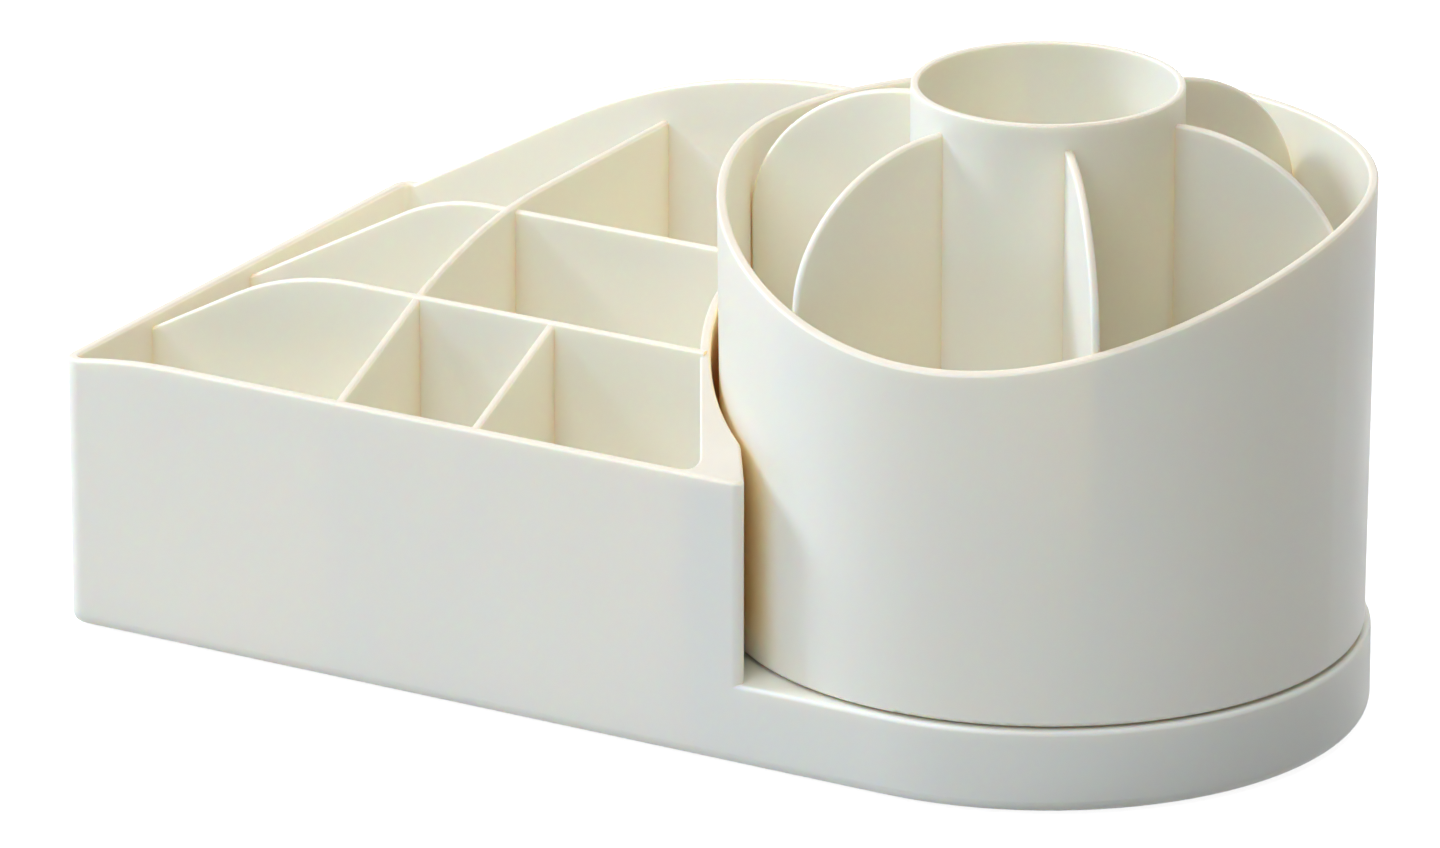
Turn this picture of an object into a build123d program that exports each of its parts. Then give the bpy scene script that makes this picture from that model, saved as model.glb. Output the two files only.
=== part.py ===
from build123d import *
import math
import os

os.makedirs("parts", exist_ok=True)

# Sizes in millimetres. The table is at zero height, and the middle of the base's plan is at zero in X and Y.

# Cup, in plan, which sets the width of the base
CUP_BOTTOM_RADIUS = 75.2
CUP_TAPER = 0.0109
CUP_WALL = 2.2
RIM_FLAT = 0.8
RIM_EDGE_RADIUS = (CUP_WALL - RIM_FLAT) / 2

# Base, in plan
BASE_LENGTH = 300.0
PLATFORM_LEDGE = 1.5
LEFT_CORNER_RADIUS = 4.5
WALL = 2.5
WALL_FLAT = 0.9
WALL_EDGE_RADIUS = (WALL - WALL_FLAT) / 2
DIVIDER = 2.0
DIVIDER_FLAT = 0.4
DIVIDER_EDGE_RADIUS = (DIVIDER - DIVIDER_FLAT) / 2
HALF_DEPTH = CUP_BOTTOM_RADIUS + PLATFORM_LEDGE
BASE_DEPTH = 2 * HALF_DEPTH
LEFT_END = -BASE_LENGTH / 2
# The right end of the base is half round, about the cup's turning axis.
CUP_X = BASE_LENGTH / 2 - HALF_DEPTH

# Base, heights
UNDERSIDE = 0.8
TRAY_FLOOR = 3.0
DECK_TOP = 20.8
DECK_THICKNESS = 2.5
LEFT_WALL_TOP = 68.0
FRONT_WALL_TOP = 70.3
FRONT_WALL_DIP_LENGTH = 25.8
BACK_WALL_TOP = 113.0
BOTTOM_EDGE_RADIUS = 3.0
DECK_EDGE_RADIUS = 1.0

# Climbing tops of the back wall and of the dividers
BACK_WALL_SLOPE = 0.56
BACK_WALL_BEND = 160.0
# The tops of the front and back walls leave the left wall's level just past the rounded corners.
PAST_CORNER = 0.5
CLIMB_START_X = LEFT_END + LEFT_CORNER_RADIUS + PAST_CORNER
ROW_SLOPE = 0.54
ROW_START_LEVEL = 65.0
FRONT_CELL_DEPTH = 33.2
FRONT_ROW_Y = -HALF_DEPTH + WALL + FRONT_CELL_DEPTH + DIVIDER / 2
FRONT_ROW_TOP = 86.0
FRONT_ROW_BEND = 69.0
MIDDLE_CELL_DEPTH = 41.5
BACK_ROW_Y = FRONT_ROW_Y + MIDDLE_CELL_DEPTH + DIVIDER
BACK_ROW_TOP = 94.6
BACK_ROW_BEND = 50.0
LEFT_CELL_LENGTH = 73.3
LEFT_COLUMN_X = LEFT_END + WALL + LEFT_CELL_LENGTH + DIVIDER / 2
MIDDLE_CELL_LENGTH = 35.0
RIGHT_COLUMN_X = LEFT_COLUMN_X + MIDDLE_CELL_LENGTH + DIVIDER
COLUMN_SLOPE = 0.44
COLUMN_BEND = 151.0
COLUMN_TOP = 96.5

# Concave wall round the cup and the noses in which it ends. Angles are from the -X direction.
CONCAVE_GAP = 2.5
CONCAVE_INNER_RADIUS = CUP_BOTTOM_RADIUS + CONCAVE_GAP
CONCAVE_OUTER_RADIUS = CONCAVE_INNER_RADIUS + WALL
CONCAVE_MIDDLE_RADIUS = CONCAVE_INNER_RADIUS + WALL / 2
CONCAVE_FOOT_BLEND = 6.0
NOSE_TANGENT_ANGLE = 30.4
NOSE_ROOT_ANGLE = 54.61
NOSE_ROOT_REACH = CONCAVE_INNER_RADIUS * math.cos(math.radians(NOSE_ROOT_ANGLE))
NOSE_TIP_STEP = 9.0
NOSE_TIP_REACH = NOSE_ROOT_REACH - NOSE_TIP_STEP
NOSE_TIP_FLAT = 0.5
NOSE_TIP_RADIUS = WALL - NOSE_TIP_FLAT
NOSE_ROOT_RADIUS = 8.0
NOSE_POCKET_RADIUS = 3.0
# The tray floor and the platform's block end inside the noses, this far left and right of the nose root.
FLOOR_OVERLAP = 1.5
DECK_OVERLAP = 1.0
# The straight walls are made in two parts that meet this far left of the nose root.
STRIP_LENGTH = 15.0
WALL_SPLIT_X = CUP_X - NOSE_ROOT_REACH - STRIP_LENGTH

# Underside of the platform
SKIRT = 3.5
COVER_THICKNESS = 2.0
COVER_GAP = 0.3
COVER_TOP = UNDERSIDE + COVER_THICKNESS
PAD_HEIGHT = 1.8
PAD_TOP = COVER_TOP + PAD_HEIGHT
SCREW_INSET = 14.7
SCREW_CIRCLE = HALF_DEPTH - SCREW_INSET
SCREW_ANGLES = (0, 90, 180, 270)
SCREW_SHANK_RADIUS = 1.5
SCREW_SHANK_LENGTH = 9.5
SCREW_HEAD_RADIUS = 3.0
SCREW_HEAD_HEIGHT = 1.8
SCREW_EDGE_RADIUS = 0.6
SCREW_HOLE_GAP = 0.3
SCREW_HOLE_RADIUS = SCREW_SHANK_RADIUS + SCREW_HOLE_GAP
SCREW_HEAD_GAP = 0.4
SCREW_RECESS_RADIUS = SCREW_HEAD_RADIUS + SCREW_HEAD_GAP
SCREW_HEAD_TOP = UNDERSIDE + SCREW_HEAD_HEIGHT + SCREW_HEAD_GAP
SCREW_TIP_GAP = 2.1
SCREW_HOLE_TOP = SCREW_HEAD_TOP + SCREW_SHANK_LENGTH + SCREW_TIP_GAP
PAD_WALL = 2.1
PAD_RADIUS = SCREW_RECESS_RADIUS + PAD_WALL
SCREW_BOSS_WALL = 2.5
SCREW_BOSS_RADIUS = SCREW_SHANK_RADIUS + SCREW_BOSS_WALL
SLOT_WIDTH = 0.8
SLOT_LENGTH = 3.4
SLOT_DEPTH = 0.9

# Rubber feet: two pairs under the tray and one pair on the cover
FOOT_RADIUS = 6.0
FOOT_THICKNESS = 1.5
FOOT_RECESS_GAP = 0.2
FOOT_RECESS_RADIUS = FOOT_RADIUS + FOOT_RECESS_GAP
FOOT_EDGE_RADIUS = 0.4
FOOT_INSET = 14.7
FOOT_TO_PLATFORM = 15.1
FOOT_COVER_ANGLE = 51.6

# Bearing between the platform and the cup
BALL_COUNT = 12
BALL_RADIUS = 2.5
BALL_CIRCLE = 44.0
BALL_CLEARANCE = 0.01
GROOVE_CLEARANCE = 0.05
GROOVE_RADIUS = BALL_RADIUS + GROOVE_CLEARANCE
CAGE_HALF_WIDTH = 4.0
CAGE_THICKNESS = 1.2
CAGE_POCKET_CLEARANCE = 0.1
CAGE_POCKET_RADIUS = BALL_RADIUS + CAGE_POCKET_CLEARANCE
TRACK_OUTER_WIDTH = 6.0
TRACK_OUTER_RADIUS = BALL_CIRCLE + TRACK_OUTER_WIDTH
TRACK_INNER_WIDTH = 10.5
TRACK_INNER_RADIUS = BALL_CIRCLE - TRACK_INNER_WIDTH
TRACK_THICKNESS = 3.2
TRACK_SPACING = 2.2
RIB_CLEARANCE = 0.1
RIB_WIDTH = 1.9
RIB_OUTER_RADIUS = TRACK_INNER_RADIUS - RIB_CLEARANCE
RIB_INNER_RADIUS = RIB_OUTER_RADIUS - RIB_WIDTH
RIB_HEIGHT = 1.5
CUP_LIFT = 0.6
CUP_BOTTOM = DECK_TOP + CUP_LIFT
WELL_GAP = 2.0
WELL_RADIUS = TRACK_OUTER_RADIUS + WELL_GAP
WELL_FLOOR = CUP_BOTTOM - 2 * TRACK_THICKNESS - TRACK_SPACING
# The balls stand midway between the two tracks.
BALL_HEIGHT = (WELL_FLOOR + CUP_BOTTOM) / 2
GROOVE_OFFSET = GROOVE_RADIUS - BALL_RADIUS - BALL_CLEARANCE
BALL_ANGLES = [number * 360 / BALL_COUNT for number in range(BALL_COUNT)]

# Pivot in the middle of the bearing, stacked up from the cover
SPIGOT_RADIUS = 5.95
SPIGOT_CLEARANCE = 0.05
BUSH_BORE_RADIUS = SPIGOT_RADIUS + SPIGOT_CLEARANCE
BUSH_WALL = 2.0
BUSH_RADIUS = BUSH_BORE_RADIUS + BUSH_WALL
BUSH_FLANGE_WIDTH = 3.0
BUSH_FLANGE_THICKNESS = 1.2
BEARING_BOSS_WALL = 6.0
BEARING_BOSS_RADIUS = BUSH_RADIUS + BEARING_BOSS_WALL
PIVOT_HEAD_GAP = 0.3
PIVOT_HEAD_RADIUS = 3.5
PIVOT_HEAD_HEIGHT = 2.0
PIVOT_HEAD_TOP = COVER_TOP + PIVOT_HEAD_GAP + PIVOT_HEAD_HEIGHT
PIVOT_SHANK_RADIUS = 1.5
PIVOT_SHANK_LENGTH = 10.0
PIVOT_HOLE_TOP = PIVOT_HEAD_TOP + PIVOT_SHANK_LENGTH + SCREW_TIP_GAP
WASHER_RADIUS = 10.5
WASHER_THICKNESS = 1.0
WASHER_HOLE_GAP = 0.2
WASHER_HOLE_RADIUS = PIVOT_SHANK_RADIUS + WASHER_HOLE_GAP
SPIGOT_BOTTOM = PIVOT_HEAD_TOP + WASHER_THICKNESS
SPIGOT_END_PLAY = 0.2
BEARING_BOSS_BOTTOM = SPIGOT_BOTTOM + SPIGOT_END_PLAY

# Cup, heights
CUP_FLOOR_THICKNESS = 2.4
CUP_BOTTOM_EDGE_RADIUS = 1.2
CUP_INSIDE_EDGE_RADIUS = 2.0
RIM_TOP = 130.1
RIM_DIP_RADIUS = 182.0
RIM_DIP_START = -15.2
RIM_DIP_DIRECTION = 277.5

# Divider insert
TUBE_RADIUS = 31.7
TUBE_WALL = 1.8
TUBE_TOP = 151.5
TUBE_FLAT = 0.8
TUBE_EDGE_RADIUS = (TUBE_WALL - TUBE_FLAT) / 2
FIN_COUNT = 6
FIRST_FIN_ANGLE = 7.5
FIN_THICKNESS = 2.0
FIN_FLAT = 0.4
FIN_EDGE_RADIUS = (FIN_THICKNESS - FIN_FLAT) / 2
FIN_TOP_AT_TUBE = 145.6
FIN_TOP_AT_WALL = 110.6
FIN_GAP = 0.2
FIN_CORNER_GAP = 0.5
FIN_CORNER_CUT = CUP_INSIDE_EDGE_RADIUS + FIN_CORNER_GAP
LOCATING_RING_GAP = 0.2
LOCATING_RING_WIDTH = 2.0
QUARTER_TURN = 90

# Longer than anything it cuts
FAR = 200.0

# Two points this close together are the same point.
SAME = 0.01


def about_axis(shape, x=0.0, y=0.0, z=0.0):
    """Place a shape by its distance from the cup's turning axis."""
    return Pos(CUP_X + x, y, z) * shape


def disc(radius, low, high, x=0.0, y=0.0):
    """A round solid standing between two heights, placed from the turning axis."""
    return about_axis(extrude(Circle(radius), amount=high - low), x, y, low)


def tube(outer_radius, inner_radius, low, high):
    """A round solid with a round hole, about the turning axis."""
    return about_axis(extrude(Circle(outer_radius) - Circle(inner_radius), amount=high - low), z=low)


def on_circle(radius, angle):
    """A point at a distance and angle from the turning axis."""
    return radius * math.cos(math.radians(angle)), radius * math.sin(math.radians(angle))


def along_x(y):
    """A drawing plane that faces front: X to the right and height up."""
    return Plane(origin=(0, y, 0), x_dir=(1, 0, 0), z_dir=(0, -1, 0))


def along_y(x):
    """A drawing plane that faces right: Y to the right and height up."""
    return Plane(origin=(x, 0, 0), x_dir=(0, 1, 0), z_dir=(1, 0, 0))


def outward(angle):
    """A drawing plane through the turning axis: distance from the axis to the right and height up."""
    step_x, step_y = on_circle(1.0, angle)
    return Plane(origin=(CUP_X, 0, 0), x_dir=(step_x, step_y, 0), z_dir=(step_y, -step_x, 0))


def slab(plane, lines, thickness):
    """A flat solid, half its thickness on each side of a plane, with closed lines as its outline."""
    return extrude(plane * make_face(lines), amount=thickness / 2, both=True)


def climbing_lines(start, start_level, slope, top, bend, end):
    """Outline of a wall whose top climbs straight from its start and then bends into a level run."""
    angle = math.atan(slope)
    reach = bend * math.tan(angle / 2)
    corner = start + (top - start_level) / slope
    bend_start = (corner - reach * math.cos(angle), top - reach * math.sin(angle))
    bend_end = (corner + reach, top)
    climb = Line((start, start_level), bend_start)
    turn = TangentArc(bend_start, bend_end, tangent=(math.cos(angle), math.sin(angle)))
    rest = Polyline(bend_end, (end, top), (end, UNDERSIDE), (start, UNDERSIDE), (start, start_level))
    return climb + turn + rest


def round_top(solid, across, radius):
    """Round the long top edges of an upright wall. Its thickness runs along the given direction."""
    edges = []
    for edge in solid.edges():
        span = edge.position_at(1) - edge.position_at(0)
        is_upright = abs(span.Z) > span.length - SAME
        is_across = abs(span.dot(across)) > SAME
        if edge.center().Z > TRAY_FLOOR and not is_upright and not is_across:
            edges.append(edge)
    return fillet(edges, radius)


def square_plan(inset):
    """Plan of the base drawn in from its outer edge: square left end, half-round right end."""
    half_depth = HALF_DEPTH - inset
    length = CUP_X - LEFT_END - inset
    straight = Pos(CUP_X - length / 2, 0) * Rectangle(length, 2 * half_depth)
    return straight + Pos(CUP_X, 0) * Circle(half_depth)


def base_plan(inset):
    """Plan of the base drawn in from its outer edge, with its two left corners rounded."""
    plan = square_plan(inset)
    corners = plan.vertices().sort_by(Axis.X)[:2]
    return fillet(corners, LEFT_CORNER_RADIUS - inset)


def nose_plan(side):
    """Plan of the wedge that joins the concave wall to the front wall (side -1) or the back wall (side 1)."""
    angle = math.radians(NOSE_TANGENT_ANGLE)
    touch_x = -CONCAVE_OUTER_RADIUS * math.cos(angle)
    touch_y = CONCAVE_OUTER_RADIUS * math.sin(angle)
    wall_x = touch_x + (HALF_DEPTH - touch_y) * math.tan(angle)
    root_y = CONCAVE_INNER_RADIUS * math.sin(math.radians(NOSE_ROOT_ANGLE))
    points = [
        (touch_x, side * touch_y),
        (wall_x, side * HALF_DEPTH),
        (-NOSE_TIP_REACH, side * HALF_DEPTH),
        (-NOSE_ROOT_REACH, side * root_y),
        (0, 0),
    ]
    return Pos(CUP_X, 0) * make_face(Polyline(*points, close=True))


def concave_plan():
    """Plan of the concave wall with both noses and the short straight walls that run into them."""
    ring = Pos(CUP_X, 0) * (Circle(CONCAVE_OUTER_RADIUS) - Circle(CONCAVE_INNER_RADIUS))
    # The ring stops inside the noses, left of where they touch it.
    left_ring = ring & Pos(WALL_SPLIT_X - FAR / 2, 0) * Rectangle(FAR, BASE_DEPTH)
    noses = nose_plan(-1) + nose_plan(1)
    window = Pos(WALL_SPLIT_X + STRIP_LENGTH / 2, 0) * Rectangle(STRIP_LENGTH, BASE_DEPTH)
    strips = (base_plan(0) - base_plan(WALL)) & window
    plan = left_ring + (noses - Pos(CUP_X, 0) * Circle(CONCAVE_INNER_RADIUS)) + strips
    for reach, radius in ((NOSE_TIP_REACH, NOSE_TIP_RADIUS), (NOSE_ROOT_REACH, NOSE_ROOT_RADIUS)):
        corners = [v for v in plan.vertices() if abs(v.X - CUP_X + reach) < SAME]
        plan = fillet(corners, radius)
    front_inner_face = [v for v in plan.vertices() if abs(v.Y + HALF_DEPTH - WALL) < SAME]
    pocket = [v for v in front_inner_face if v.X > WALL_SPLIT_X + 1]
    return fillet(pocket, NOSE_POCKET_RADIUS)


def make_outer_walls():
    """Left, front and back walls with their rounded tops."""
    dip_end = CLIMB_START_X + FRONT_WALL_DIP_LENGTH
    dip = TangentArc((dip_end, FRONT_WALL_TOP), (CLIMB_START_X, LEFT_WALL_TOP), tangent=(-1, 0))
    front_rest = Polyline(
        (CLIMB_START_X, LEFT_WALL_TOP),
        (CLIMB_START_X, UNDERSIDE),
        (WALL_SPLIT_X, UNDERSIDE),
        (WALL_SPLIT_X, FRONT_WALL_TOP),
        (dip_end, FRONT_WALL_TOP),
    )
    front_half = slab(along_x(-HALF_DEPTH / 2), dip + front_rest, HALF_DEPTH)
    back_lines = climbing_lines(
        CLIMB_START_X, LEFT_WALL_TOP, BACK_WALL_SLOPE, BACK_WALL_TOP, BACK_WALL_BEND, WALL_SPLIT_X
    )
    back_half = slab(along_x(HALF_DEPTH / 2), back_lines, HALF_DEPTH)
    left_length = CLIMB_START_X - LEFT_END
    left_block = Pos(LEFT_END + left_length / 2, 0, 0) * Box(left_length, BASE_DEPTH, 2 * LEFT_WALL_TOP)
    ring = extrude(Pos(0, 0, UNDERSIDE) * (base_plan(0) - base_plan(WALL)), amount=BACK_WALL_TOP)
    walls = ring & (front_half + back_half + left_block)
    top_edges = []
    for edge in walls.edges():
        span = edge.position_at(1) - edge.position_at(0)
        middle = edge.center()
        is_upright = abs(span.Z) > span.length - SAME
        crosses_wall = abs(span.X) < SAME and abs(middle.Y) > HALF_DEPTH - WALL
        if middle.Z > TRAY_FLOOR and not is_upright and not crosses_wall:
            top_edges.append(edge)
    return fillet(top_edges, WALL_EDGE_RADIUS)


def make_concave_wall():
    """Concave wall with its noses. Its top climbs as the column dividers do, and the back wall stands higher."""
    inner_back = HALF_DEPTH - WALL
    climb = climbing_lines(
        WALL - HALF_DEPTH, FRONT_WALL_TOP, COLUMN_SLOPE, COLUMN_TOP, COLUMN_BEND, inner_back
    )
    front_strip = Polyline(
        (-HALF_DEPTH, FRONT_WALL_TOP),
        (WALL - HALF_DEPTH, FRONT_WALL_TOP),
        (WALL - HALF_DEPTH, UNDERSIDE),
        (-HALF_DEPTH, UNDERSIDE),
        close=True,
    )
    profile = make_face(climb) + make_face(front_strip)
    crease = [v for v in profile.vertices() if abs(v.X - WALL + HALF_DEPTH) < SAME and v.Y > TRAY_FLOOR]
    profile = fillet(crease, CONCAVE_FOOT_BLEND)
    back_height = BACK_WALL_TOP - UNDERSIDE
    profile += Pos(HALF_DEPTH - WALL / 2, UNDERSIDE + back_height / 2) * Rectangle(WALL, back_height)
    below_top = extrude(along_y(CUP_X) * profile, amount=FAR, both=True)
    wall = extrude(Pos(0, 0, UNDERSIDE) * concave_plan(), amount=BACK_WALL_TOP) & below_top
    top_edges = []
    for edge in wall.edges():
        ends = (edge.position_at(0), edge.position_at(1))
        span = ends[1] - ends[0]
        is_upright = abs(span.Z) > span.length - SAME
        at_split = max(ends[0].X, ends[1].X) < WALL_SPLIT_X + SAME and abs(ends[0].Y) > inner_back - SAME
        meets_back_wall = max(abs(end.Y - inner_back) + abs(end.Z - COLUMN_TOP) for end in ends) < SAME
        if edge.center().Z > TRAY_FLOOR and not is_upright and not at_split and not meets_back_wall:
            top_edges.append(edge)
    return fillet(top_edges, WALL_EDGE_RADIUS)


def make_dividers():
    """Two row dividers and two column dividers, each rounded along its top."""
    dividers = []
    row_start = LEFT_END + WALL / 2
    start_level = ROW_START_LEVEL - ROW_SLOPE * WALL / 2
    rows = (
        (FRONT_ROW_Y, FRONT_ROW_TOP, FRONT_ROW_BEND),
        (BACK_ROW_Y, BACK_ROW_TOP, BACK_ROW_BEND),
    )
    for y, top, bend in rows:
        row_end = CUP_X - math.sqrt(CONCAVE_MIDDLE_RADIUS**2 - y**2)
        lines = climbing_lines(row_start, start_level, ROW_SLOPE, top, bend, row_end)
        dividers.append(round_top(slab(along_x(y), lines, DIVIDER), Vector(0, 1, 0), DIVIDER_EDGE_RADIUS))
    column_start = -HALF_DEPTH + WALL / 2
    columns = (
        (LEFT_COLUMN_X, HALF_DEPTH - WALL / 2),
        (RIGHT_COLUMN_X, FRONT_ROW_Y),
    )
    for x, column_end in columns:
        lines = climbing_lines(
            column_start, FRONT_WALL_TOP, COLUMN_SLOPE, COLUMN_TOP, COLUMN_BEND, HALF_DEPTH - WALL / 2
        )
        column = round_top(slab(along_y(x), lines, DIVIDER), Vector(1, 0, 0), DIVIDER_EDGE_RADIUS)
        kept_depth = column_end - column_start
        window = Pos(x, column_start + kept_depth / 2, 0) * Box(2 * DIVIDER, kept_depth, 2 * FAR)
        dividers.append(column & window)
    return dividers


def make_platform_block():
    """Round platform under the cup, still solid, with its rounded top edge."""
    # The block runs into the middle of the concave wall and into the noses.
    middle_circle = Pos(CUP_X, 0) * Circle(CONCAVE_MIDDLE_RADIUS)
    deck_start = CUP_X - NOSE_ROOT_REACH + DECK_OVERLAP
    right_part = Pos(deck_start + FAR / 2, 0) * Rectangle(FAR, BASE_DEPTH)
    plan = base_plan(0) & (middle_circle + right_part)
    block = extrude(Pos(0, 0, UNDERSIDE) * plan, amount=DECK_TOP - UNDERSIDE)
    rim_edges = []
    for edge in block.edges():
        middle = edge.position_at(0.5)
        from_axis = math.hypot(middle.X - CUP_X, middle.Y)
        on_straight = abs(abs(middle.Y) - HALF_DEPTH) < SAME
        on_round_end = middle.X > CUP_X and abs(from_axis - HALF_DEPTH) < SAME
        if abs(middle.Z - DECK_TOP) < SAME and (on_straight or on_round_end):
            rim_edges.append(edge)
    return fillet(rim_edges, DECK_EDGE_RADIUS)


def hollow_platform(tray):
    """Hollow the platform from below, and make the well, the bearing boss and the screw bosses in it."""
    hollow_plan = Pos(CUP_X, 0) * Circle(CONCAVE_INNER_RADIUS) & square_plan(SKIRT)
    tray -= extrude(Pos(0, 0, UNDERSIDE) * hollow_plan, amount=DECK_TOP - DECK_THICKNESS - UNDERSIDE)
    inside_deck = DECK_TOP - DECK_THICKNESS / 2
    tray += disc(WELL_RADIUS + DECK_THICKNESS, WELL_FLOOR - DECK_THICKNESS, inside_deck)
    tray += disc(BEARING_BOSS_RADIUS, BEARING_BOSS_BOTTOM, WELL_FLOOR - DECK_THICKNESS / 2)
    for angle in SCREW_ANGLES:
        x, y = on_circle(SCREW_CIRCLE, angle)
        tray += disc(SCREW_BOSS_RADIUS, PAD_TOP, inside_deck, x, y)
        tray -= disc(SCREW_SHANK_RADIUS, PAD_TOP, SCREW_HOLE_TOP, x, y)
    tray -= disc(WELL_RADIUS, WELL_FLOOR, DECK_TOP)
    tray -= disc(BUSH_RADIUS, BEARING_BOSS_BOTTOM, WELL_FLOOR)
    return tray + tube(RIB_OUTER_RADIUS, RIB_INNER_RADIUS, WELL_FLOOR, WELL_FLOOR + RIB_HEIGHT)


def cut_foot_recesses(solid, places):
    """Sink a shallow round recess for each foot into the underside."""
    for x, y in places.values():
        recess = extrude(Circle(FOOT_RECESS_RADIUS), amount=FOOT_THICKNESS - UNDERSIDE)
        solid -= Pos(x, y, UNDERSIDE) * recess
    return solid


def make_base_tray():
    """The whole fixed moulding."""
    middle_circle = Pos(CUP_X, 0) * Circle(CONCAVE_MIDDLE_RADIUS)
    floor_end = CUP_X - NOSE_ROOT_REACH - FLOOR_OVERLAP
    left_part = Pos(floor_end - FAR / 2, 0) * Rectangle(FAR, BASE_DEPTH)
    floor_plan = (base_plan(0) & left_part) - middle_circle
    tray = extrude(Pos(0, 0, UNDERSIDE) * floor_plan, amount=TRAY_FLOOR - UNDERSIDE)
    tray += make_outer_walls()
    tray += make_concave_wall()
    for divider in make_dividers():
        tray += divider
    tray += make_platform_block()
    envelope = extrude(Pos(0, 0, UNDERSIDE) * base_plan(0), amount=BACK_WALL_TOP)
    bottom_edges = envelope.edges().group_by(Axis.Z)[0]
    tray &= fillet(bottom_edges, BOTTOM_EDGE_RADIUS)
    tray = hollow_platform(tray)
    return cut_foot_recesses(tray, TRAY_FEET)


def make_base_cover():
    """Flat cover under the platform, with raised pads round its sunk screws."""
    plan = Pos(CUP_X, 0) * Circle(CONCAVE_INNER_RADIUS - COVER_GAP) & square_plan(SKIRT + COVER_GAP)
    cover = extrude(Pos(0, 0, UNDERSIDE) * plan, amount=COVER_THICKNESS)
    for angle in SCREW_ANGLES:
        x, y = on_circle(SCREW_CIRCLE, angle)
        cover += disc(PAD_RADIUS, UNDERSIDE, PAD_TOP, x, y)
        cover -= disc(SCREW_RECESS_RADIUS, UNDERSIDE, SCREW_HEAD_TOP, x, y)
        cover -= disc(SCREW_HOLE_RADIUS, UNDERSIDE, PAD_TOP, x, y)
    return cut_foot_recesses(cover, COVER_FEET)


def make_screw(head_radius, head_height, shank_radius, shank_length, head_top):
    """A screw pointing up, its cross slot below. head_top is the height where head and shank meet."""
    screw = Pos(0, 0, head_top - head_height) * extrude(Circle(head_radius), amount=head_height)
    lower_edge = screw.edges().group_by(Axis.Z)[0]
    screw = fillet(lower_edge, SCREW_EDGE_RADIUS)
    screw += Pos(0, 0, head_top) * extrude(Circle(shank_radius), amount=shank_length)
    slot = Rectangle(SLOT_LENGTH, SLOT_WIDTH) + Rectangle(SLOT_WIDTH, SLOT_LENGTH)
    return screw - Pos(0, 0, head_top - head_height) * extrude(slot, amount=SLOT_DEPTH)


def make_cover_screws():
    """The four screws of the base cover."""
    screw = make_screw(
        SCREW_HEAD_RADIUS, SCREW_HEAD_HEIGHT, SCREW_SHANK_RADIUS, SCREW_SHANK_LENGTH, SCREW_HEAD_TOP
    )
    return Compound([about_axis(screw, *on_circle(SCREW_CIRCLE, angle)) for angle in SCREW_ANGLES])


def make_foot():
    """A flat rubber foot, rounded where it meets the table."""
    foot = extrude(Circle(FOOT_RADIUS), amount=FOOT_THICKNESS)
    return fillet(foot.edges().group_by(Axis.Z)[0], FOOT_EDGE_RADIUS)


def make_bush():
    """Flanged bush in which the cup's spigot turns."""
    flange_top = WELL_FLOOR + BUSH_FLANGE_THICKNESS
    bush = disc(BUSH_RADIUS, BEARING_BOSS_BOTTOM, flange_top)
    bush += disc(BUSH_RADIUS + BUSH_FLANGE_WIDTH, WELL_FLOOR, flange_top)
    return bush - disc(BUSH_BORE_RADIUS, BEARING_BOSS_BOTTOM, flange_top)


def make_track(low, groove_height):
    """A bearing ring with a ball groove."""
    track = tube(TRACK_OUTER_RADIUS, TRACK_INNER_RADIUS, low, low + TRACK_THICKNESS)
    return track - about_axis(Torus(BALL_CIRCLE, GROOVE_RADIUS), z=groove_height)


def make_cage():
    """Flat ring that keeps the balls apart."""
    low = BALL_HEIGHT - CAGE_THICKNESS / 2
    high = BALL_HEIGHT + CAGE_THICKNESS / 2
    cage = tube(BALL_CIRCLE + CAGE_HALF_WIDTH, BALL_CIRCLE - CAGE_HALF_WIDTH, low, high)
    for angle in BALL_ANGLES:
        x, y = on_circle(BALL_CIRCLE, angle)
        cage -= disc(CAGE_POCKET_RADIUS, low, high, x, y)
    return cage


def cup_radius(height):
    """Outer radius of the cup, which widens slightly upwards."""
    return CUP_BOTTOM_RADIUS + CUP_TAPER * (height - CUP_BOTTOM)


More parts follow.
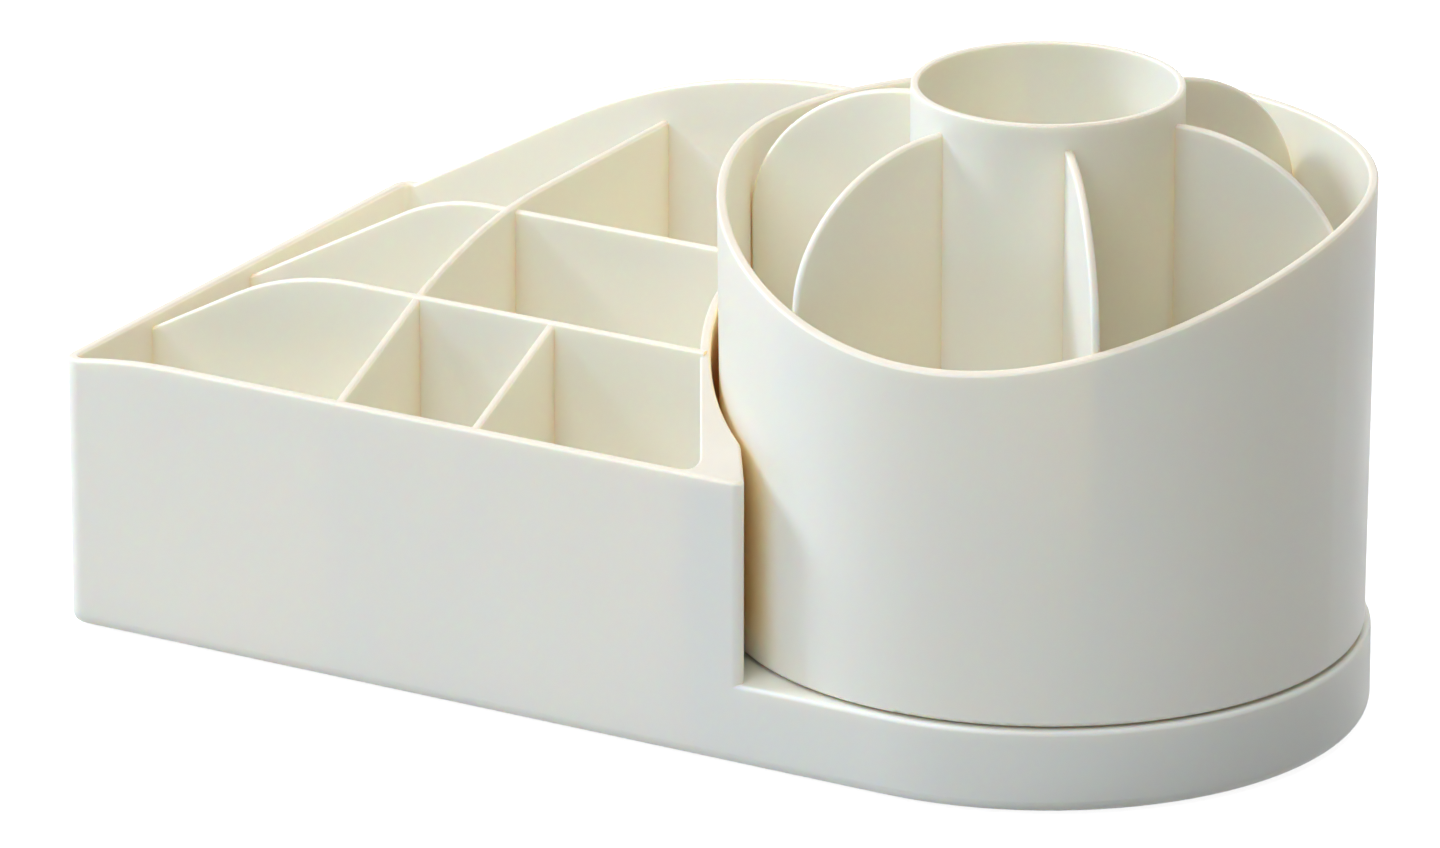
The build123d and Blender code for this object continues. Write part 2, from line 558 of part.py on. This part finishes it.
def make_cup():
    """Round cup with a dipped rim, its spigot, and the ribs that place the track and the insert."""
    floor_top = CUP_BOTTOM + CUP_FLOOR_THICKNESS
    blank_top = RIM_TOP + CUP_WALL
    points = [
        (0, CUP_BOTTOM),
        (cup_radius(CUP_BOTTOM), CUP_BOTTOM),
        (cup_radius(blank_top), blank_top),
        (cup_radius(blank_top) - CUP_WALL, blank_top),
        (cup_radius(floor_top) - CUP_WALL, floor_top),
        (0, floor_top),
    ]
    section = make_face(Polyline(*points, close=True))
    outer_corner = [v for v in section.vertices() if abs(v.X - cup_radius(CUP_BOTTOM)) < SAME]
    section = fillet(outer_corner, CUP_BOTTOM_EDGE_RADIUS)
    inner_corner = [v for v in section.vertices() if abs(v.X - cup_radius(floor_top) + CUP_WALL) < SAME]
    section = fillet(inner_corner, CUP_INSIDE_EDGE_RADIUS)
    cup = revolve(outward(0) * section, Axis((CUP_X, 0, 0), (0, 0, 1)))

    dip_reach = FAR / 2 - RIM_DIP_START
    dip_end = (FAR / 2, RIM_TOP - RIM_DIP_RADIUS + math.sqrt(RIM_DIP_RADIUS**2 - dip_reach**2))
    dip = TangentArc((RIM_DIP_START, RIM_TOP), dip_end, tangent=(1, 0))
    rest = Polyline(dip_end, (FAR / 2, 0), (-FAR / 2, 0), (-FAR / 2, RIM_TOP), (RIM_DIP_START, RIM_TOP))
    cup &= slab(outward(RIM_DIP_DIRECTION), dip + rest, FAR)
    lowest_rim = dip_end[1]
    cup = fillet([e for e in cup.edges() if e.center().Z > lowest_rim], RIM_EDGE_RADIUS)

    cup += disc(SPIGOT_RADIUS, SPIGOT_BOTTOM, CUP_BOTTOM)
    cup -= disc(PIVOT_SHANK_RADIUS, SPIGOT_BOTTOM, PIVOT_HOLE_TOP)
    cup += tube(RIB_OUTER_RADIUS, RIB_INNER_RADIUS, CUP_BOTTOM - RIB_HEIGHT, CUP_BOTTOM)
    ring_outer = TUBE_RADIUS - TUBE_WALL - LOCATING_RING_GAP
    return cup + tube(ring_outer, ring_outer - LOCATING_RING_WIDTH, floor_top, floor_top + RIB_HEIGHT)


def make_insert():
    """Centre tube with six fins whose tops fall in a quarter ellipse."""
    low = CUP_BOTTOM + CUP_FLOOR_THICKNESS
    centre_tube = tube(TUBE_RADIUS, TUBE_RADIUS - TUBE_WALL, low, TUBE_TOP)
    insert = fillet(centre_tube.edges().group_by(Axis.Z)[-1], TUBE_EDGE_RADIUS)
    inner_end = TUBE_RADIUS - TUBE_WALL / 2
    outer_low = cup_radius(low) - CUP_WALL - FIN_GAP
    outer_high = cup_radius(FIN_TOP_AT_WALL) - CUP_WALL - FIN_GAP
    fall = EllipticalCenterArc(
        (TUBE_RADIUS, FIN_TOP_AT_WALL),
        outer_high - TUBE_RADIUS,
        FIN_TOP_AT_TUBE - FIN_TOP_AT_WALL,
        arc_size=QUARTER_TURN,
    )
    rest = Polyline(
        (TUBE_RADIUS, FIN_TOP_AT_TUBE),
        (inner_end, FIN_TOP_AT_TUBE),
        (inner_end, low),
        (outer_low - FIN_CORNER_CUT, low),
        (outer_low, low + FIN_CORNER_CUT),
        (outer_high, FIN_TOP_AT_WALL),
    )
    for number in range(FIN_COUNT):
        angle = FIRST_FIN_ANGLE + number * 360 / FIN_COUNT
        plane = outward(angle)
        insert += round_top(slab(plane, fall + rest, FIN_THICKNESS), plane.z_dir, FIN_EDGE_RADIUS)
    return insert


foot_left_x = LEFT_END + FOOT_INSET
foot_middle_x = CUP_X - CONCAVE_OUTER_RADIUS - FOOT_TO_PLATFORM
foot_y = HALF_DEPTH - FOOT_INSET
cover_foot_x, cover_foot_y = on_circle(SCREW_CIRCLE, FOOT_COVER_ANGLE)
TRAY_FEET = {
    "front_left": (foot_left_x, -foot_y),
    "back_left": (foot_left_x, foot_y),
    "front_middle": (foot_middle_x, -foot_y),
    "back_middle": (foot_middle_x, foot_y),
}
COVER_FEET = {
    "front_right": (CUP_X + cover_foot_x, -cover_foot_y),
    "back_right": (CUP_X + cover_foot_x, cover_foot_y),
}

export_step(make_base_tray(), "parts/base_tray.step")
export_step(make_base_cover(), "parts/base_cover.step")
export_step(make_cover_screws(), "parts/cover_screws.step")
for name, (x, y) in {**TRAY_FEET, **COVER_FEET}.items():
    export_step(Pos(x, y, 0) * make_foot(), f"parts/foot_{name}.step")
export_step(make_bush(), "parts/pivot_bush.step")
export_step(make_track(WELL_FLOOR, BALL_HEIGHT + GROOVE_OFFSET), "parts/lower_track.step")

export_step(make_cage(), "parts/ball_cage.step")
for number, angle in enumerate(BALL_ANGLES, start=1):
    x, y = on_circle(BALL_CIRCLE, angle)
    ball = about_axis(Sphere(BALL_RADIUS), x, y, BALL_HEIGHT)
    export_step(ball, f"parts/ball_{number:02d}.step")

export_step(make_cup(), "parts/rotating_cup.step")
export_step(make_insert(), "parts/divider_insert.step")
upper_track = make_track(CUP_BOTTOM - TRACK_THICKNESS, BALL_HEIGHT - GROOVE_OFFSET)
export_step(upper_track, "parts/upper_track.step")
washer = tube(WASHER_RADIUS, WASHER_HOLE_RADIUS, PIVOT_HEAD_TOP, SPIGOT_BOTTOM)
export_step(washer, "parts/retaining_washer.step")
pivot_screw = make_screw(
    PIVOT_HEAD_RADIUS, PIVOT_HEAD_HEIGHT, PIVOT_SHANK_RADIUS, PIVOT_SHANK_LENGTH, PIVOT_HEAD_TOP
)
export_step(about_axis(pivot_screw), "parts/pivot_screw.step")
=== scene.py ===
"""Looks of the rotating makeup organizer: materials, light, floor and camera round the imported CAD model."""

import math

import bpy
from mathutils import Matrix, Vector

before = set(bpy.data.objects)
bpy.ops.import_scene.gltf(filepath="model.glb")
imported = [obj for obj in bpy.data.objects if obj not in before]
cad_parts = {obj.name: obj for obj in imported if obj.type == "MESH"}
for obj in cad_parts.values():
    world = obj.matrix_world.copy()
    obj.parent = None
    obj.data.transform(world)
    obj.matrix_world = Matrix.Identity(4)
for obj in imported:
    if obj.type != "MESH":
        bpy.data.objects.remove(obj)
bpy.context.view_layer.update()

# Units: places and sizes in metres, angles in degrees, the lens and its sensor in millimetres,
# lamps in watts. Colours are linear. A range is a pair of its low and its high end.

# Camera, fitted to the photo.
CAMERA_AZIMUTH = 30.362
CAMERA_ELEVATION = 19.838
CAMERA_DISTANCE = 2.7145
CAMERA_TARGET = Vector((-0.0026, -0.0199, 0.0603))
CAMERA_REACH = 20.0
CAMERA_LENS = 289.36
SENSOR_WIDTH = 36.0

# Light and floor. The light is a little cool and the plastic a little warm, so shade turns warmer. The key
# softbox makes the shadows, and the large ones fill them. The floor lights the object as a grey floor does,
# and its glow makes it white as a background.
WHITE = (1.0, 1.0, 1.0)
COOL_WHITE = (0.76, 0.83, 1.0)
WARM_WHITE = (1.0, 0.97, 0.92)
WORLD_STRENGTH = 0.16
FLOOR_SIZE = 12.0
FLOOR_GREY = (0.5, 0.5, 0.5)
FLOOR_ROUGHNESS = 0.9
FLOOR_GLOW = 0.88
LIGHT_AIM = (0.07, 0, 0.1)
SOFTBOXES = {
    "key_softbox": {
        "place": (-1.36, -0.26, 1.22),
        "width": 0.55,
        "height": 0.5,
        "power": 25.0,
        "colour": COOL_WHITE,
    },
    "top_softbox": {
        "place": (0.0, 0.1, 1.7),
        "width": 1.4,
        "height": 1.4,
        "power": 19.5,
        "colour": WARM_WHITE,
    },
    "high_softbox": {
        "place": (-0.1, -1.25, 1.25),
        "width": 1.2,
        "height": 1.2,
        "power": 11.5,
        "colour": COOL_WHITE,
    },
    "back_softbox": {
        "place": (0.0, 1.5, 1.0),
        "width": 1.2,
        "height": 1.2,
        "power": 2.5,
        "colour": COOL_WHITE,
    },
}

# Colours of the pieces.
IVORY = (0.985, 0.928, 0.795)
COVER_IVORY = (0.80, 0.77, 0.65)
BEARING_WHITE = (0.82, 0.82, 0.79)
RUBBER_GREY = (0.35, 0.34, 0.31)
BALL_STEEL = (0.66, 0.66, 0.67)
ZINC_STEEL = (0.60, 0.61, 0.62)
WASHER_STEEL = (0.56, 0.56, 0.57)

# Ranges that the materials share: from nothing to all, and where most of a noise's values lie.
FULL_RANGE = (0.0, 1.0)
NOISE_RANGE = (0.3, 0.7)

# Where Blender's Mix node keeps its two colours and its mixed colour.
MIX_FIRST = 6
MIX_SECOND = 7
MIX_RESULT = 2


def add_node(tree, kind, **values):
    """A shader node with its input sockets or settings set by name."""
    node = tree.nodes.new(kind)
    for name, value in values.items():
        socket = name.replace("_", " ")
        if socket in node.inputs:
            node.inputs[socket].default_value = value
        else:
            setattr(node, name, value)
    return node


def new_material(name):
    """An empty material, with its node tree and its shader."""
    material = bpy.data.materials.new(name)
    material.use_nodes = True
    tree = material.node_tree
    return material, tree, tree.nodes["Principled BSDF"]


def own_place(tree):
    """Where a spot is in its piece's own coordinates, which move with the piece."""
    return add_node(tree, "ShaderNodeTexCoord").outputs["Object"]


def mapped_noise(tree, scale, detail, roughness):
    """Noise over the piece's own coordinates."""
    noise = add_node(tree, "ShaderNodeTexNoise", Scale=scale, Detail=detail, Roughness=roughness)
    tree.links.new(own_place(tree), noise.inputs["Vector"])
    return noise.outputs["Fac"]


def remap(tree, source, old_range, new_range):
    """A value carried from one range to another, and held at its ends."""
    node = add_node(tree, "ShaderNodeMapRange")
    node.inputs["From Min"].default_value, node.inputs["From Max"].default_value = old_range
    node.inputs["To Min"].default_value, node.inputs["To Max"].default_value = new_range
    tree.links.new(source, node.inputs["Value"])
    return node.outputs["Result"]


def mix_colour(tree, factor, first, second):
    """A colour that turns into a second one by a factor. The first is a colour or another node's output."""
    node = add_node(tree, "ShaderNodeMix", data_type="RGBA")
    tree.links.new(factor, node.inputs["Factor"])
    if isinstance(first, tuple):
        node.inputs[MIX_FIRST].default_value = (*first, 1)
    else:
        tree.links.new(first, node.inputs[MIX_FIRST])
    node.inputs[MIX_SECOND].default_value = (*second, 1)
    return node.outputs[MIX_RESULT]


def shade(colour, factor):
    """A colour made darker or lighter."""
    return tuple(channel * factor for channel in colour)


def filtered(colour, shares):
    """A colour with a share of each of its channels."""
    return tuple(channel * share for channel, share in zip(colour, shares))


def upward_part(tree, vector):
    """The Z part of a vector."""
    split = add_node(tree, "ShaderNodeSeparateXYZ")
    tree.links.new(vector, split.inputs["Vector"])
    return split.outputs["Z"]


def join_values(tree, operation, first, second):
    """Two values put through one sum, such as their product or the larger of them."""
    node = add_node(tree, "ShaderNodeMath", operation=operation)
    tree.links.new(first, node.inputs[0])
    tree.links.new(second, node.inputs[1])
    return node.outputs["Value"]


def add_relief(tree, shader, noise, strength, depth):
    """Fine relief on the surface, made by a noise."""
    bump = add_node(tree, "ShaderNodeBump", Strength=strength, Distance=depth)
    tree.links.new(noise, bump.inputs["Height"])
    tree.links.new(bump.outputs["Normal"], shader.inputs["Normal"])


# Painted shade on top edges, which darkens the faces that the top light lights most. It sets in between these
# heights, down to these shares of the colour's channels. A face counts as a top edge by the upward part of
# its normal, and the painted shade is patchy.
RIM_HEIGHTS = (0.058, 0.066)
RIM_SHADE_SHARES = (0.655, 0.64, 0.60)
RIM_UPWARD = (0.3, 0.9)
RIM_PATCHES = (0.8, 1.0)


def rim_painted_shade(tree, patches):
    """Mask of painted shade: 1 on top edges, faces that look up above the tray's low parts, in patches, and 0
    elsewhere.
    """
    normal = add_node(tree, "ShaderNodeNewGeometry").outputs["Normal"]
    looks_up = remap(tree, upward_part(tree, normal), RIM_UPWARD, FULL_RANGE)
    above = remap(tree, upward_part(tree, own_place(tree)), RIM_HEIGHTS, FULL_RANGE)
    uneven = remap(tree, patches, NOISE_RANGE, RIM_PATCHES)
    return join_values(tree, "MULTIPLY", join_values(tree, "MULTIPLY", looks_up, above), uneven)


# Painted warm shade in gaps as narrow as the reach, standing in for light that passes from wall to wall in
# the plastic.
# The painted shade falls from full to none as the gap opens, and sets in between these heights, above the
# seam under the cup.
CREASE_REACH = 0.012
CREASE_SAMPLES = 4
CREASE_OPENNESS = (0.1, 0.5)
CREASE_SHADE_RANGE = (1.0, 0.0)
CREASE_SHADE_SHARES = (1.0, 0.84, 0.55)
CREASE_HEIGHTS = (0.024, 0.034)


def crease_painted_shade(tree):
    """Mask of painted warm shade: 1 deep in narrow gaps and corners, 0 on open faces and from the seam down.
    """
    shelter = add_node(tree, "ShaderNodeAmbientOcclusion", samples=CREASE_SAMPLES, Distance=CREASE_REACH)
    above_seam = remap(tree, upward_part(tree, own_place(tree)), CREASE_HEIGHTS, FULL_RANGE)
    narrow = remap(tree, shelter.outputs["AO"], CREASE_OPENNESS, CREASE_SHADE_RANGE)
    return join_values(tree, "MULTIPLY", narrow, above_seam)


# Shades of the clouds in the plastic, as shares of its colour, and how far its roughness goes either way.
PLASTIC_CLOUD_SHADES = (0.985, 1.01)
PLASTIC_SHINIER = 0.05
PLASTIC_DULLER = 0.06
PLASTIC_GRAIN_DEPTH = 0.00008
PLASTIC_IOR = 1.46
# How far light travels inside the ivory plastic, with red light going furthest.
GLOW_DEPTH = 0.0021
GLOW_COLOUR = (1.0, 0.7, 0.45)


def make_plastic(name, colour, roughness, grain, see_through=0.0):
    """Moulded plastic: faint cloudy tint, fine grain, uneven sheen, painted shade on top edges and painted
    warm shade in narrow gaps.
    """
    material, tree, shader = new_material(name)
    darkest, lightest = PLASTIC_CLOUD_SHADES
    cloud = remap(tree, mapped_noise(tree, scale=9.0, detail=3.0, roughness=0.5), NOISE_RANGE, FULL_RANGE)
    clean = mix_colour(tree, cloud, shade(colour, darkest), shade(colour, lightest))
    patch_noise = mapped_noise(tree, scale=26.0, detail=4.0, roughness=0.6)
    # Painted shade on the upward-facing top edges, in patches.
    rim_shaded = mix_colour(tree, rim_painted_shade(tree, patch_noise), clean, filtered(colour, RIM_SHADE_SHARES))
    # Painted warm shade in narrow gaps and corners.
    crease_shaded = mix_colour(tree, crease_painted_shade(tree), rim_shaded, filtered(colour, CREASE_SHADE_SHARES))
    tree.links.new(crease_shaded, shader.inputs["Base Color"])
    sheen = remap(tree, patch_noise, NOISE_RANGE, (roughness - PLASTIC_SHINIER, roughness + PLASTIC_DULLER))
    tree.links.new(sheen, shader.inputs["Roughness"])
    fine = mapped_noise(tree, scale=2600.0, detail=2.0, roughness=0.5)
    add_relief(tree, shader, fine, strength=grain, depth=PLASTIC_GRAIN_DEPTH)
    shader.inputs["IOR"].default_value = PLASTIC_IOR
    shader.inputs["Subsurface Weight"].default_value = see_through
    shader.inputs["Subsurface Radius"].default_value = GLOW_COLOUR
    shader.inputs["Subsurface Scale"].default_value = GLOW_DEPTH
    return material


# Shades of the metal and the ends of its roughness, as shares of its own colour and roughness.
METAL_SHADES = (0.93, 1.04)
METAL_SHINIEST = 0.8
METAL_DULLEST = 1.3
METAL_SCRATCH_STRENGTH = 0.08
METAL_SCRATCH_DEPTH = 0.00003


def make_metal(name, colour, roughness, scratch_scale):
    """Metal with fine scratches and a slightly uneven sheen."""
    material, tree, shader = new_material(name)
    darkest, lightest = METAL_SHADES
    patches = remap(tree, mapped_noise(tree, scale=140.0, detail=3.0, roughness=0.5), NOISE_RANGE, FULL_RANGE)
    tint = mix_colour(tree, patches, shade(colour, darkest), shade(colour, lightest))
    tree.links.new(tint, shader.inputs["Base Color"])
    scratches = mapped_noise(tree, scale=scratch_scale, detail=2.0, roughness=0.6)
    sheen = remap(tree, scratches, NOISE_RANGE, (roughness * METAL_SHINIEST, roughness * METAL_DULLEST))
    tree.links.new(sheen, shader.inputs["Roughness"])
    add_relief(tree, shader, scratches, strength=METAL_SCRATCH_STRENGTH, depth=METAL_SCRATCH_DEPTH)
    shader.inputs["Metallic"].default_value = 1.0
    return material


# The part of the noise that shows as dust, and how much lighter the dusty rubber is.
RUBBER_DUST = (0.35, 0.7)
RUBBER_DUSTY_SHADE = 1.15
RUBBER_ROUGHNESS = (0.7, 0.9)
RUBBER_GRAIN_STRENGTH = 0.3
RUBBER_GRAIN_DEPTH = 0.0001


def make_rubber(name, colour):
    """Dull rubber with a grainy face and dusty patches."""
    material, tree, shader = new_material(name)
    dust = mapped_noise(tree, scale=90.0, detail=4.0, roughness=0.6)
    dusty = remap(tree, dust, RUBBER_DUST, FULL_RANGE)
    tint = mix_colour(tree, dusty, colour, shade(colour, RUBBER_DUSTY_SHADE))
    tree.links.new(tint, shader.inputs["Base Color"])
    tree.links.new(remap(tree, dust, NOISE_RANGE, RUBBER_ROUGHNESS), shader.inputs["Roughness"])
    grain = mapped_noise(tree, scale=1500.0, detail=3.0, roughness=0.6)
    add_relief(tree, shader, grain, strength=RUBBER_GRAIN_STRENGTH, depth=RUBBER_GRAIN_DEPTH)
    return material


def dress(nodes, material):
    """Give one material to every slot of these CAD nodes."""
    for name in nodes:
        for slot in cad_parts[name].material_slots:
            slot.material = material


def dress_pieces():
    """Give every CAD node its material."""
    moulded = ["base_tray", "rotating_cup", "divider_insert"]
    bearing = ["pivot_bush", "lower_track", "upper_track", "ball_cage"]
    feet = [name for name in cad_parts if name.startswith("foot_")]
    balls = [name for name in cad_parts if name.startswith("ball_") and name != "ball_cage"]
    dress(moulded, make_plastic("ivory_plastic", IVORY, roughness=0.36, grain=0.12, see_through=1.0))
    dress(["base_cover"], make_plastic("cover_plastic", COVER_IVORY, roughness=0.55, grain=0.5))
    dress(bearing, make_plastic("bearing_plastic", BEARING_WHITE, roughness=0.42, grain=0.1))
    dress(feet, make_rubber("foot_rubber", RUBBER_GREY))
    dress(balls, make_metal("polished_steel", BALL_STEEL, roughness=0.09, scratch_scale=420.0))
    screw_metal = make_metal("zinc_steel", ZINC_STEEL, roughness=0.30, scratch_scale=900.0)
    dress(["cover_screws", "pivot_screw"], screw_metal)
    dress(["retaining_washer"], make_metal("plain_steel", WASHER_STEEL, roughness=0.34, scratch_scale=700.0))


def background_rays(tree):
    """1 for rays from the camera, mirror images and see-through parts, which meet a white background."""
    path = add_node(tree, "ShaderNodeLightPath")
    camera_or_mirror = join_values(
        tree, "MAXIMUM", path.outputs["Is Camera Ray"], path.outputs["Is Glossy Ray"]
    )
    return join_values(tree, "MAXIMUM", camera_or_mirror, path.outputs["Is Transmission Ray"])


def make_floor():
    """Pale floor that the camera sees as white, with only a faint shadow close to the object."""
    bpy.ops.mesh.primitive_plane_add(size=FLOOR_SIZE, location=(0, 0, 0))
    floor = bpy.context.object
    floor.name = "studio_floor"
    material, tree, matt = new_material("studio_floor_white")
    matt.inputs["Base Color"].default_value = (*FLOOR_GREY, 1)
    matt.inputs["Roughness"].default_value = FLOOR_ROUGHNESS
    glow = add_node(tree, "ShaderNodeEmission")
    strength = remap(tree, background_rays(tree), FULL_RANGE, (0.0, FLOOR_GLOW))
    tree.links.new(strength, glow.inputs["Strength"])
    both = add_node(tree, "ShaderNodeAddShader")
    tree.links.new(matt.outputs["BSDF"], both.inputs[0])
    tree.links.new(glow.outputs["Emission"], both.inputs[1])
    tree.links.new(both.outputs["Shader"], tree.nodes["Material Output"].inputs["Surface"])
    floor.data.materials.append(material)


def make_world():
    """White to the camera, and a soft cool light to everything else."""
    world = bpy.data.worlds.new("studio_world")
    bpy.context.scene.world = world
    world.use_nodes = True
    tree = world.node_tree
    light = tree.nodes["Background"]
    light.inputs["Color"].default_value = (*COOL_WHITE, 1)
    light.inputs["Strength"].default_value = WORLD_STRENGTH
    white = add_node(tree, "ShaderNodeBackground", Strength=1.0, Color=(*WHITE, 1))
    mix = add_node(tree, "ShaderNodeMixShader")
    tree.links.new(background_rays(tree), mix.inputs["Fac"])
    tree.links.new(light.outputs["Background"], mix.inputs[1])
    tree.links.new(white.outputs["Background"], mix.inputs[2])
    tree.links.new(mix.outputs["Shader"], tree.nodes["World Output"].inputs["Surface"])


def add_softbox(name, place, width, height, power, colour):
    """A rectangular studio light that points at the object."""
    data = bpy.data.lights.new(name, "AREA")
    data.shape = "RECTANGLE"
    data.size = width
    data.size_y = height
    data.energy = power
    data.color = colour
    lamp = bpy.data.objects.new(name, data)
    bpy.context.collection.objects.link(lamp)
    lamp.location = place
    lamp.rotation_euler = (Vector(LIGHT_AIM) - Vector(place)).to_track_quat("-Z", "Y").to_euler()


def make_camera():
    """The photo's camera."""
    azimuth = math.radians(CAMERA_AZIMUTH)
    elevation = math.radians(CAMERA_ELEVATION)
    away = Vector(
        (
            math.sin(azimuth) * math.cos(elevation),
            -math.cos(azimuth) * math.cos(elevation),
            math.sin(elevation),
        )
    )
    right = Vector((math.cos(azimuth), math.sin(azimuth), 0))
    up = away.cross(right)
    data = bpy.data.cameras.new("photo_camera")
    data.lens = CAMERA_LENS
    data.sensor_width = SENSOR_WIDTH
    data.sensor_fit = "HORIZONTAL"
    data.clip_end = CAMERA_REACH
    camera = bpy.data.objects.new("photo_camera", data)
    bpy.context.collection.objects.link(camera)
    turn = Matrix((right, up, away)).transposed()
    camera.matrix_world = Matrix.Translation(CAMERA_TARGET + away * CAMERA_DISTANCE) @ turn.to_4x4()
    bpy.context.scene.camera = camera


dress_pieces()
make_floor()
make_world()
for softbox, settings in SOFTBOXES.items():
    add_softbox(softbox, **settings)
make_camera()
bpy.context.scene.view_settings.view_transform = "Standard"
